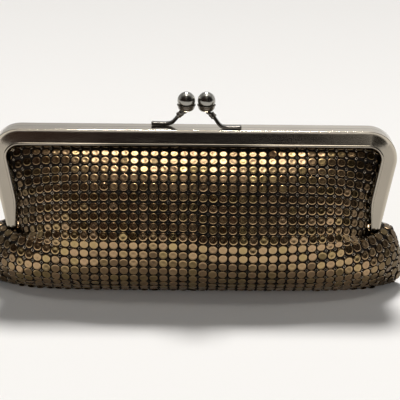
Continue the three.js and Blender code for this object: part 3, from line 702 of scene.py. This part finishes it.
class PURSE_OT_stage(bpy.types.Operator):
    """Make the camera, the lights and the floor"""

    bl_idname = "purse.stage"
    bl_label = "Stage"

    def execute(self, context):
        s = settings()
        stage, finish = s.stage, s.finish
        data = bpy.data.cameras.new("camera")
        data.sensor_width = 36.0
        data.lens = stage.lens
        data.clip_start = 0.01
        data.clip_end = 50.0
        camera = bpy.data.objects.new("camera", data)
        context.scene.collection.objects.link(camera)
        aim = Vector((stage.look_x, 0.0, stage.look_z))
        back = Vector((0.0, -np.cos(stage.height), np.sin(stage.height)))
        turn = (-back).to_track_quat("-Z", "Y").to_matrix().to_4x4()
        camera.matrix_world = (
            Matrix.Translation(aim + back * stage.distance) @ turn @ Matrix.Rotation(stage.roll, 4, "Z")
        )
        context.scene.camera = camera
        context.scene.view_settings.view_transform = "Standard"

        light = bpy.data.lights.new("key_light", "SUN")
        light.energy = stage.sun
        light.angle = stage.sun_width
        light.color = tuple(finish.sunlight)
        key = bpy.data.objects.new("key_light", light)
        context.scene.collection.objects.link(key)
        source = Vector((0.0, np.cos(stage.sun_height), np.sin(stage.sun_height)))
        key.rotation_euler = source.to_track_quat("Z", "Y").to_euler()

        self.room(context, finish)
        size = 4.0
        corner = np.array([[-1, -1], [1, -1], [1, 1], [-1, 1]]) * size
        points = np.column_stack([corner, np.full(4, -0.05 * MM)])
        floor = make_piece("floor", points, np.array([[0, 1, 2, 3]]), floor_finish(finish))
        floor.parent = None
        return {"FINISHED"}

    def room(self, context, finish):
        """The light that the room sends from each direction: a narrow bright lamp overhead, a
        pale wall behind the purse, dimmer on the left, and in front of it a dark room with a small
        window on the right. Matt
        surfaces get an even light from low in front instead, and the camera itself sees a plain
        pale wall."""
        world = bpy.data.worlds.new("room")
        context.scene.world = world
        world.use_nodes = True
        tree = world.node_tree
        tree.nodes.clear()
        direction = add_node(tree, "ShaderNodeTexCoord").outputs["Generated"]
        parts = add_node(tree, "ShaderNodeSeparateXYZ", {0: direction})
        aside, behind, up = parts.outputs["X"], parts.outputs["Y"], parts.outputs["Z"]
        low = self.ramp(
            tree, spread(tree, aside, -0.5, 0.5),
            (
                (0.0, (0.035, 0.025, 0.02)), (0.37, (0.05, 0.03, 0.024)), (0.46, (0.016, 0.014, 0.014)),
                (0.56, (0.016, 0.015, 0.015)), (0.615, (0.035, 0.033, 0.03)), (0.64, (0.6, 0.58, 0.55)),
                (0.665, (0.035, 0.033, 0.03)), (1.0, (0.025, 0.022, 0.02)),
            ),
        )
        box = self.ramp(
            tree, up,
            tuple(
                (z, (g, g, g))
                for z, g in (
                    (0.45, 0.0), (0.6, 0.1), (0.8, 0.3), (0.95, 0.55), (0.983, 0.9), (0.993, 14.0)
                )
            ),
        )
        width = spread(tree, maths(tree, "ABSOLUTE", aside), 0.04, 0.25, 1.0, 0.14)
        above = add_node(tree, "ShaderNodeVectorMath", {0: box}, operation="SCALE")
        tree.links.new(width, above.inputs["Scale"])
        front = add_node(
            tree, "ShaderNodeVectorMath",
            {0: above.outputs[0], 1: tuple(finish.warmth), 2: low}, operation="MULTIPLY_ADD",
        ).outputs[0]
        rear = self.ramp(
            tree, up,
            tuple(
                (z, (g, g, g * 0.99))
                for z, g in ((0.0, 0.75), (0.2, 0.8), (0.4, 0.8), (0.65, 0.45), (0.85, 0.9), (1.0, 1.8))
            ),
        )
        dimmed = add_node(tree, "ShaderNodeVectorMath", {0: rear}, operation="SCALE")
        tree.links.new(spread(tree, aside, -0.12, 0.02, 0.68, 1.0), dimmed.inputs["Scale"])
        which = spread(tree, behind, -0.25, 0.25)
        light = mix_colours(tree, which, front, dimmed.outputs[0])
        path = add_node(tree, "ShaderNodeLightPath")
        fill = maths(
            tree, "MULTIPLY", spread(tree, behind, -0.05, 0.05, 1.35, 0.0),
            spread(tree, up, 0.15, 0.7, 1.0, 0.0),
        )
        lit = add_node(
            tree, "ShaderNodeMixShader",
            {
                0: path.outputs["Is Diffuse Ray"],
                1: add_node(tree, "ShaderNodeBackground", {"Color": light}).outputs[0],
                2: add_node(tree, "ShaderNodeBackground", {"Strength": fill}).outputs[0],
            },
        )
        wall = add_node(tree, "ShaderNodeBackground", {"Color": (0.86, 0.85, 0.83, 1.0)})
        both = add_node(
            tree, "ShaderNodeMixShader",
            {0: path.outputs["Is Camera Ray"], 1: lit.outputs[0], 2: wall.outputs[0]},
        )
        add_node(tree, "ShaderNodeOutputWorld", {"Surface": both.outputs[0]})

    def ramp(self, tree, value, stops):
        """A colour at each value, straight between the stops. A ramp holds colours up to 1, so
        they are divided by the highest one in it and multiplied by that after it."""
        peak = max(max(tone) for at, tone in stops)
        made = add_node(tree, "ShaderNodeValToRGB", {0: value})
        band = made.color_ramp
        for k, (at, tone) in enumerate(stops):
            stop = band.elements[k] if k < 2 else band.elements.new(at)
            stop.position = at
            stop.color = (*(c / peak for c in tone), 1.0)
        scaled = add_node(
            tree, "ShaderNodeVectorMath", {0: made.outputs["Color"]}, operation="SCALE"
        )
        scaled.inputs["Scale"].default_value = peak
        return scaled.outputs[0]


class PURSE_OT_frame(bpy.types.Operator):
    """Make both halves of the folded frame, with their hinge tabs"""

    bl_idname = "purse.frame"
    bl_label = "Frame"

    def execute(self, context):
        s = settings()
        outline = Outline(s.frame)
        metal = polished_metal("frame_pewter", s.finish.pewter, 0.1, 60.0, 1800.0, 0.05, 0.12)
        for front, word in ((True, "front"), (False, "back")):
            parts = [self.channel(s.frame, outline, front)]
            for hand in (-1, 1):
                parts.append(self.tab(s.frame, outline, front, hand))
            points, faces = joined(parts)
            piece = make_piece("frame_half_" + word, points, faces, metal)
            # The rolled lip's metal is painted darker, most in the middle: painted shade.
            attribute(piece, "shade", self.painted_lip_shade(s.frame, outline, points))
            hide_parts("frame_" + word)
            piece.data.set_sharp_from_angle(angle=np.radians(38))
        rivet = polished_metal("rivet_pewter", s.finish.pewter, 0.2, 500.0, 500.0, 0.3, 0.2)
        for word in ("left", "right"):
            node = frame["nodes"]["hinge_rivet_" + word]
            node.data.materials.clear()
            node.data.materials.append(rivet)
        return {"FINISHED"}

    def painted_lip_shade(self, f, outline, points):
        """The rolled lip's painted shade, darkest in the middle of the purse. Its points lie
        lower than the face and further out than the channel's inside."""
        low = ease(outline.top - points[:, 2], f.face_drop - 0.2 * MM, f.face_drop + 0.2 * MM)
        out = np.abs(points[:, 1] - SEAM_Y) > f.top_depth
        middle = 1 - ease(np.abs(points[:, 0] + 9 * MM), 35 * MM, 60 * MM)
        return (0.4 + 0.6 * middle) * low * out

    def profile(self, f):
        """The channel's section as (depth from the seam, distance in from the outer edge): a flat
        top, a rounded edge, the bevelled face, a rolled lip, and back along the inside."""
        round_at = 0.35 * f.metal
        a = np.radians(np.linspace(90, -8, 9))
        edge = np.stack(
            [f.top_depth - round_at + round_at * np.cos(a), round_at - round_at * np.sin(a)], axis=1
        )
        b = np.radians(np.linspace(-75, 185, 19))
        out = f.top_depth + f.face_bevel - f.clearance
        lip = np.stack(
            [
                out + f.lip_radius * np.cos(b),
                f.face_drop + f.lip_radius + f.lip_radius * np.sin(b),
            ],
            axis=1,
        )
        steps = np.linspace(0, 1, 5)[1:-1, None]
        face = blend(edge[-1], np.array([f.top_depth + f.face_bevel, f.face_drop]), steps)
        gap = f.clearance / 2
        slope = f.face_bevel / f.face_drop
        inside = np.array(
            [
                (f.top_depth + f.face_bevel - (1 + slope) * f.metal, f.face_drop - f.metal),
                (f.top_depth - f.metal + slope * f.metal, f.metal),
                (f.metal + gap, f.metal),
                (f.metal + gap, f.face_drop),
                (gap, f.face_drop),
                (gap, 0.0),
            ]
        )
        return np.vstack([edge, face, lip, inside])

    def channel(self, f, outline, front):
        """The section carried along the outer edge: at each station a corner lies its distance in
        along the inward direction, times the face's share there, and its depth along Y."""
        a = np.linspace(0, np.pi / 2 + outline.lean, 33)
        x = outline.corner_x + outline.radius * np.sin(a)
        z = outline.corner_z + outline.radius * np.cos(a)
        leg_z = blend(outline.tangent_z, outline.leg_end, np.linspace(0, 1, 25)[1:])
        x = np.concatenate([x, outline.leg_x(leg_z)])
        z = np.concatenate([z, leg_z])
        nx = np.concatenate([np.sin(a), np.full(24, np.cos(outline.lean))])
        nz = np.concatenate([np.cos(a), np.full(24, -np.sin(outline.lean))])
        part = np.concatenate([np.ones(33), outline.face_share(leg_z)])
        along_top = np.linspace(-1, 1, 41)[1:-1] * outline.corner_x
        x = np.concatenate([-x[::-1], along_top, x])
        flat = np.full(39, outline.top)
        z = np.concatenate([z[::-1], flat, z])
        nx = np.concatenate([-nx[::-1], np.zeros(39), nx])
        nz = np.concatenate([nz[::-1], np.ones(39), nz])
        part = np.concatenate([part[::-1], np.ones(39), part])
        section = self.profile(f)
        inward = section[None, :, 1] * part[:, None]
        side = -1 if front else 1
        rings = np.stack(
            [
                x[:, None] - nx[:, None] * inward,
                np.broadcast_to(SEAM_Y + side * section[None, :, 0], inward.shape),
                z[:, None] - nz[:, None] * inward,
            ],
            axis=-1,
        )
        return tube(rings)

    def tab(self, f, outline, front, hand):
        """A hinge tab: a plate across X, straight where it meets the leg and round about the
        rivet. The front half's tab lies outside the back half's."""
        radius = TAB_RADIUS
        pivot_z = (RIVET_LOW.z + RIVET_HIGH.z) / 2
        outer = outline.leg_x(pivot_z) - 2 * f.metal
        if not front:
            outer -= f.metal + f.clearance
        a = np.radians(np.linspace(90, 270, 17))
        root = [f.top_depth + f.metal / 2]
        depth = np.concatenate([root, radius * np.cos(a), root])
        rise = np.concatenate([[radius], radius * np.sin(a), [-radius]])
        side = -1 if front else 1
        rings = np.stack(
            [
                np.stack([np.full(len(depth), hand * x), SEAM_Y + side * depth, pivot_z + rise], axis=1)
                for x in (outer, outer + f.metal)
            ]
        )
        return tube(rings)


class PURSE_OT_clasp(bpy.types.Operator):
    """Make the kiss lock's arms, cups and balls"""

    bl_idname = "purse.clasp"
    bl_label = "Kiss lock"

    def execute(self, context):
        s = settings()
        c, finish = s.clasp, s.finish
        outline = Outline(s.frame)
        arm_metal = polished_metal("clasp_arm_metal", finish.gunmetal, 0.2, 400.0, 900.0, 0.1, 0.3)
        ball_metal = polished_metal("clasp_ball_metal", finish.clasp, 0.12, 350.0, 350.0, 0.5, 0.35)
        self.ball_z = outline.top + c.rise
        for hand, word in ((-1, "left"), (1, "right")):
            points, faces, strip = self.arm(c, s.frame, outline)
            arm = make_piece("kiss_lock_arm_" + word, self.turned(points, hand, c), faces, arm_metal)
            attribute(arm, "shade", np.where(np.arange(len(points)) < strip, 0.75, 0.0))
            arm.data.set_sharp_from_angle(angle=np.radians(40))
            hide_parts("clasp_arm_" + word)
            points, faces = self.ball(c, hand)
            ball = make_piece("kiss_lock_ball_" + word, self.turned(points, hand, c), faces, ball_metal)
            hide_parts("clasp_ball_" + word)
        return {"FINISHED"}

    def turned(self, points, hand, c):
        """The left side is the right side turned half a turn about the upright axis."""
        return points * np.array([hand, hand, 1]) + np.array([c.middle, SEAM_Y, 0.0])

    def arm(self, c, f, outline):
        """The right arm's points and faces, and how many of its points belong to the strip."""
        ball_x = c.spacing / 2
        seat = c.ball / 2 + f.clearance
        bottom = self.ball_z - seat - CUP_METAL
        rim = bottom + c.cup_height
        foot_y = -f.top_depth / 2
        foot_z = outline.top + f.clearance + c.arm_metal / 2
        collar_at = np.array(
            [blend(c.foot_in, ball_x, 0.6), foot_y / 3, blend(foot_z, bottom, 0.74)]
        )
        bend = np.array([c.foot_in, foot_y, foot_z])
        path = smooth_line(
            np.array(
                [
                    (c.foot_out, foot_y, foot_z),
                    (blend(c.foot_out, c.foot_in, 0.85), foot_y, foot_z),
                    blend(bend, collar_at, 0.14),
                    collar_at,
                    (ball_x, 0.0, bottom),
                ]
            ),
            14,
        )
        parts = [self.strip(path, c)]
        slant = unit(np.array([ball_x, 0.0, bottom]) - bend)
        parts.append(self.collar(collar_at, slant, c))
        parts.append(self.cup(c, ball_x, bottom, rim, seat))
        return *joined(parts), len(parts[0][0])

    def strip(self, path, c):
        """A flat strip along the path. Its section is a rounded rectangle: the power form
        |x/w|^8 + |y/t|^3 = 1, with y square to the path."""
        run = unit(np.gradient(path, axis=0) * np.array([1, 0, 1]))
        a = np.linspace(0, 2 * np.pi, 24, endpoint=False)
        across = c.arm_width / 2 * np.sign(np.cos(a)) * np.abs(np.cos(a)) ** 0.25
        thick = c.arm_metal / 2 * np.sign(np.sin(a)) * np.abs(np.sin(a)) ** 0.6
        narrow = np.ones(len(path))
        narrow[0] = 0.86
        rings = path[:, None, :] + np.stack(
            [
                -run[:, None, 2] * thick[None, :] * narrow[:, None],
                across[None, :] * narrow[:, None],
                run[:, None, 0] * thick[None, :] * narrow[:, None],
            ],
            axis=-1,
        )
        return tube(rings)

    def collar(self, at, slant, c):
        """A ferrule turned about the arm's slant: a cylinder with a bead at each end."""
        half = 1.7 * MM
        profile = np.array(
            [(0, -1), (0.8, -1), (0.98, -0.86), (1.02, -0.7), (0.98, -0.52), (0.94, -0.3), (0.93, 0),
             (0.94, 0.3), (0.98, 0.52), (1.02, 0.7), (0.98, 0.86), (0.8, 1), (0, 1)]
        ) * np.array([c.ferrule, half])
        points, faces = lathe(profile, 24, (0, 0, 0))
        axes = np.array(Vector(slant).to_track_quat("Z", "Y").to_matrix())
        return points @ axes.T + at, faces

    def cup(self, c, x, bottom, rim, seat):
        """A bowl turned about the upright axis, flaring to a rolled rim, hollow to the ball."""
        height = rim - bottom
        inside = np.sqrt(max(seat**2 - (self.ball_z - rim) ** 2, 0.0))
        outside = np.array(
            [(0.0, 0.0), (0.3, 0.0), (0.5, 0.03), (0.66, 0.12), (0.79, 0.3), (0.86, 0.5), (0.9, 0.68),
             (0.94, 0.82), (0.98, 0.9), (0.99, 0.96), (0.97, 1.0)]
        ) * np.array([c.cup, height]) + np.array([0.0, bottom])
        a = np.arcsin(inside / seat) * np.linspace(1, 0, 8)
        bowl = np.stack([seat * np.sin(a), self.ball_z - seat * np.cos(a)], axis=1)
        bowl[-1, 0] = 0.0
        return lathe(np.vstack([outside, bowl]), 40, (x, 0, 0))

    def ball(self, c, hand):
        """A sphere with two shallow knocks, each a bell-shaped hollow of its radius."""
        a = np.linspace(0, np.pi, 33)
        radius = c.ball / 2
        profile = np.stack([radius * np.sin(a), -radius * np.cos(a)], axis=1)
        profile[0, 0] = profile[-1, 0] = 0.0
        points, faces = lathe(profile, 48, (0, 0, 0))
        knocks = (((0.3, -0.85, 0.3), 0.02), ((-0.5, -0.6, -0.45), 0.016), ((0.7, 0.3, 0.5), 0.014))
        ways = unit(points)
        for way, depth in knocks:
            near = ways @ unit(np.array(way) * np.array([hand, hand, 1]))
            points = points * (1 - depth * np.exp(-(1 - near) / 0.03))[:, None]
        return points + np.array([c.spacing / 2, 0.0, self.ball_z]), faces


class PURSE_OT_mesh(bpy.types.Operator):
    """Make the discs, the rings that link them and the dark layer under them"""

    bl_idname = "purse.mesh"
    bl_label = "Mesh cloth"

    def execute(self, context):
        s = settings()
        m, finish = s.mesh, s.finish
        outline = Outline(s.frame)
        draw = np.random.default_rng(m.seed)
        disc_look = disc_metal(finish)
        ring_look = polished_metal("mesh_ring_brass", finish.link, 0.15, 700.0, 700.0, 0.2, 0.4)
        for side, word in ((1, "front"), (-1, "back")):
            across, down = self.places(outline, m, side)
            self.discs(outline, m, side, word, across, down, draw, disc_look)
            self.rings(outline, m, side, word, across, down, draw, ring_look)
        carrier = self.carrier(outline, m, carrier_cloth(finish))
        return {"FINISHED"}

    def places(self, outline, m, side):
        """Where the discs lie: rows a pitch apart down the middle, and in a row a pitch apart from
        its middle, eased over its last few so that the row ends by the edge. Missing places at the
        ends of shorter rows are not numbers. In front the rows sag, further on the right."""
        downs = (np.arange(m.rows) + 0.02) / (m.rows - 0.5)
        fine = np.linspace(0, 1, 400)
        most = 26
        across = np.full((m.rows, 2 * most + 1), np.nan)
        for j, down in enumerate(downs):
            end = blend(0.4 * MM, m.pitch / 2, ease(down, outline.hinge, outline.seam))
            for hand in (-1, 1):
                line = outline.cloth(side, hand * fine, np.full(400, down))
                run = np.concatenate([[0], np.cumsum(np.linalg.norm(np.diff(line, axis=0), axis=1))])
                count = int(round((run[-1] - end) / m.pitch))
                k = np.arange(count + 1)
                at = k * m.pitch + (run[-1] - end - count * m.pitch) * (k / count) ** 6
                across[j, most + hand * k] = hand * np.interp(at, run, fine)
        down = np.broadcast_to(downs[:, None], across.shape)
        if side < 0:
            return across, down
        sag = (0.002 + 0.012 * ease(across, -0.02, 0.1)) * (1 - 0.7 * ease(np.abs(across), 0.65, 0.85))
        return across, down + sag * ease(down, 0.1, 0.4) * (1 - ease(down, 0.75, 1.0))

    def discs(self, outline, m, side, word, across, down, draw, material):
        """Round discs, each a low dome with a dimple, tilted a little by chance. Those by the
        frame's legs and those below the belly's widest row also look up, and those at the ends of
        the rows are painted darker: painted shade."""
        tilt = draw.normal(0, m.looseness, across.shape + (2,))
        loose = draw.random(across.shape) < 0.04
        tilt[loose] *= 4.0
        tones = draw.random(across.shape)
        real = ~np.isnan(across)
        a, d = across[real], down[real]
        centre, row, up, out = outline.cloth_frame(side, a, d)
        step = 0.5 / (m.rows - 0.5)
        above = outline.cloth(side, a, np.maximum(d - step, 0))
        below = outline.cloth(side, a, np.minimum(d + step, 1))
        room = np.linalg.norm(above - below, axis=1)
        tall = np.clip(room / m.pitch, 0.72, 1.0) * blend(0.93, 1.04, ease(d, 0.3, 0.55))
        t = tilt[real]
        t[:, 1] += m.side_tilt * ease(np.abs(a), 0.75, 0.9) * (1 - ease(d, 0.6, 0.75))
        t[:, 1] += m.belly_tilt * ease(d, 0.52, 0.6) * (1 - ease(d, 0.67, 0.71))
        out_tilted = unit(out + t[:, :1] * row + t[:, 1:] * up)
        row_tilted = unit(row - (row * out_tilted).sum(1, keepdims=True) * out_tilted)
        up_tilted = np.cross(out_tilted, row_tilted)
        template, faces, rim_highlight = self.disc(m)
        points, copies = placed(
            template, faces, centre - out * 0.1 * MM, row_tilted, up_tilted * tall[:, None], out_tilted
        )
        points[:, 2] = np.maximum(points[:, 2], 0.02 * MM)
        piece = make_piece("mesh_discs_" + word, points, copies, material)
        attribute(piece, "tone", np.repeat(tones[real], len(template)))
        attribute(piece, "rim_highlight", np.tile(rim_highlight, len(a)))
        # Discs at the ends of the rows are painted darker: painted shade.
        attribute(piece, "shade", np.repeat(0.8 * ease(np.abs(a), 0.8, 0.94), len(template)))
        return piece

    def disc(self, m):
        """One disc, a circle pulled a little towards a square: |x|^2.3 + |y|^2.3 = 1. Rings of
        corners at shares of its outline fall to the dimple in the middle and round off to the
        edge, over a flat underside."""
        sides = 16
        # Each ring: share of the outline, fall as a share of the dimple, and how far its bronze is
        # painted brighter, a painted highlight.
        rings = ((0.3, -0.5, 0.2), (0.62, 0.0, 0.5), (0.87, -0.15, 1.0), (1.0, -2.0, 0.9))
        a = (np.arange(sides) + 0.5) * 2 * np.pi / sides
        fit = (np.abs(np.cos(a)) ** 2.3 + np.abs(np.sin(a)) ** 2.3) ** (-1 / 2.3)
        outline = m.disc / 2 * np.stack([fit * np.cos(a), fit * np.sin(a)], axis=1)
        points = [np.array([[0.0, 0.0, -m.dimple]])]
        rim_highlight = [np.zeros(1)]
        for part, fall, painted_rim_highlight in rings:
            points.append(np.column_stack([outline * part, np.full(sides, fall * m.dimple)]))
            rim_highlight.append(np.full(sides, painted_rim_highlight))
        points.append(np.column_stack([outline * 0.9, np.full(sides, -m.disc_metal)]))
        rim_highlight.append(np.zeros(sides))
        first = 1 + np.arange(sides)
        faces = [
            np.stack([np.zeros(sides, int), first, np.roll(first, -1)], axis=1),
            grid_faces(len(rings) + 1, sides, closed_columns=True)[:, ::-1] + 1,
            (1 + len(rings) * sides + np.arange(sides))[::-1][None, :],
        ]
        points, faces = outwards(np.vstack(points), faces)
        return points, faces, np.concatenate(rim_highlight)

    def rings(self, outline, m, side, word, across, down, draw, material):
        """Small wire rings between every four discs, tilted by chance, painted darker in the middle of
        the cloth: painted shade."""
        a = (across[:-1, :-1] + across[1:, :-1] + across[:-1, 1:] + across[1:, 1:]) / 4
        d = (down[:-1, :-1] + down[1:, 1:]) / 2
        turn = draw.normal(0, 0.3, a.shape + (2,))
        real = ~np.isnan(a)
        centre, row, up, out = outline.cloth_frame(side, a[real], d[real])
        t = turn[real]
        out_tilted = unit(out + t[:, :1] * row + t[:, 1:] * up)
        row_tilted = unit(row - (row * out_tilted).sum(1, keepdims=True) * out_tilted)
        up_tilted = np.cross(out_tilted, row_tilted)
        b = np.linspace(0, 2 * np.pi, 8, endpoint=False)[:, None]
        e = np.linspace(0, 2 * np.pi, 4, endpoint=False)[None, :]
        reach = m.ring / 2 + m.wire / 2 * np.cos(e)
        template = np.stack(
            [reach * np.cos(b), reach * np.sin(b), np.broadcast_to(m.wire / 2 * np.sin(e), (8, 4))],
            axis=-1,
        ).reshape(-1, 3)
        template, faces = outwards(template, [grid_faces(8, 4, True, True)])
        points, copies = placed(
            template, faces, centre - out * 0.15 * MM, row_tilted, up_tilted, out_tilted
        )
        points[:, 2] = np.maximum(points[:, 2], 0.1 * MM)
        piece = make_piece("mesh_rings_" + word, points, copies, material)
        # The rings are painted darker in the middle of the cloth: painted shade.
        attribute(piece, "shade", np.repeat(1 - ease(np.abs(a[real]), 0.35, 0.8), len(template)))
        return piece

    def carrier(self, outline, m, material):
        """The layer under the discs: both sheets as one grid of points moved in square to the
        cloth, joined along the seams and the base line, with a rim that runs into the frame."""
        columns, rows = 161, 84
        t = np.linspace(-1, 1, columns)
        across = blend(t, np.sin(np.pi / 2 * t), 0.6)
        downs = np.concatenate(
            [np.linspace(0, outline.hinge, 36), np.linspace(outline.seam, 1, rows - 36)]
        )
        parts = []
        for side in (1, -1):
            u, d = np.meshgrid(across, downs)
            point, _, _, out = outline.cloth_frame(side, np.clip(u, -0.9995, 0.9995), d)
            inner = point - out * m.sunk
            on_seam = (np.abs(u) == 1) & (d >= outline.seam)
            exact = outline.cloth(side, u, d)
            inner[on_seam] = exact[on_seam] * np.array([1, 0, 1]) + np.array([0, SEAM_Y, 0])
            inner[on_seam, 0] -= np.sign(u[on_seam]) * m.sunk
            inner[-1] = exact[-1] + np.array([0, 0, m.sunk])
            inner[..., 2] = np.maximum(inner[..., 2], m.sunk * 0.6)
            rim = inner[:1] + np.array([0, 0, 4 * MM])
            grid = np.concatenate([rim, inner])
            quads = grid_faces(len(grid), columns)
            parts.append((grid.reshape(-1, 3), [quads if side > 0 else quads[:, ::-1]]))
        points, faces = joined(parts)
        piece = make_piece("mesh_carrier", points, faces, material)
        work = bmesh_of(piece)
        bmesh.ops.remove_doubles(work, verts=work.verts, dist=0.05 * MM)
        bmesh.ops.recalc_face_normals(work, faces=work.faces)
        work.to_mesh(piece.data)
        work.free()
        piece.data.polygons.foreach_set("use_smooth", np.ones(len(piece.data.polygons), bool))
        wall = piece.modifiers.new("wall", "SOLIDIFY")
        wall.thickness = m.carrier
        wall.offset = -1.0
        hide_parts("mesh_bag")
        return piece


def bmesh_of(piece):
    work = bmesh.new()
    work.from_mesh(piece.data)
    return work


class PURSE_PT_sidebar(bpy.types.Panel):
    """Steps that dress the purse, and their settings"""

    bl_idname = "PURSE_PT_sidebar"
    bl_label = "Metal mesh purse"
    bl_space_type = "VIEW_3D"
    bl_region_type = "UI"
    bl_category = "Purse"

    def draw(self, context):
        purse = context.scene.purse
        for step in STEPS:
            self.layout.operator(step.bl_idname)
        for name in ("frame", "mesh", "clasp", "finish", "stage"):
            group = getattr(purse, name)
            box = self.layout.box()
            box.label(text=name.capitalize())
            for key in type(group).__annotations__:
                box.prop(group, key)


STEPS = (PURSE_OT_stage, PURSE_OT_frame, PURSE_OT_clasp, PURSE_OT_mesh)
CLASSES = (
    FrameSizes, MeshSizes, ClaspSizes, Finishes, StageSettings, Purse, *STEPS, PURSE_PT_sidebar,
)


def register():
    for each in CLASSES:
        bpy.utils.register_class(each)
    bpy.types.Scene.purse = PointerProperty(type=Purse)


def unregister():
    del bpy.types.Scene.purse
    for each in reversed(CLASSES):
        bpy.utils.unregister_class(each)


def main():
    register()
    bpy.ops.purse.stage()
    bpy.ops.purse.frame()
    bpy.ops.purse.clasp()
    bpy.ops.purse.mesh()


if __name__ == "__main__":
    main()
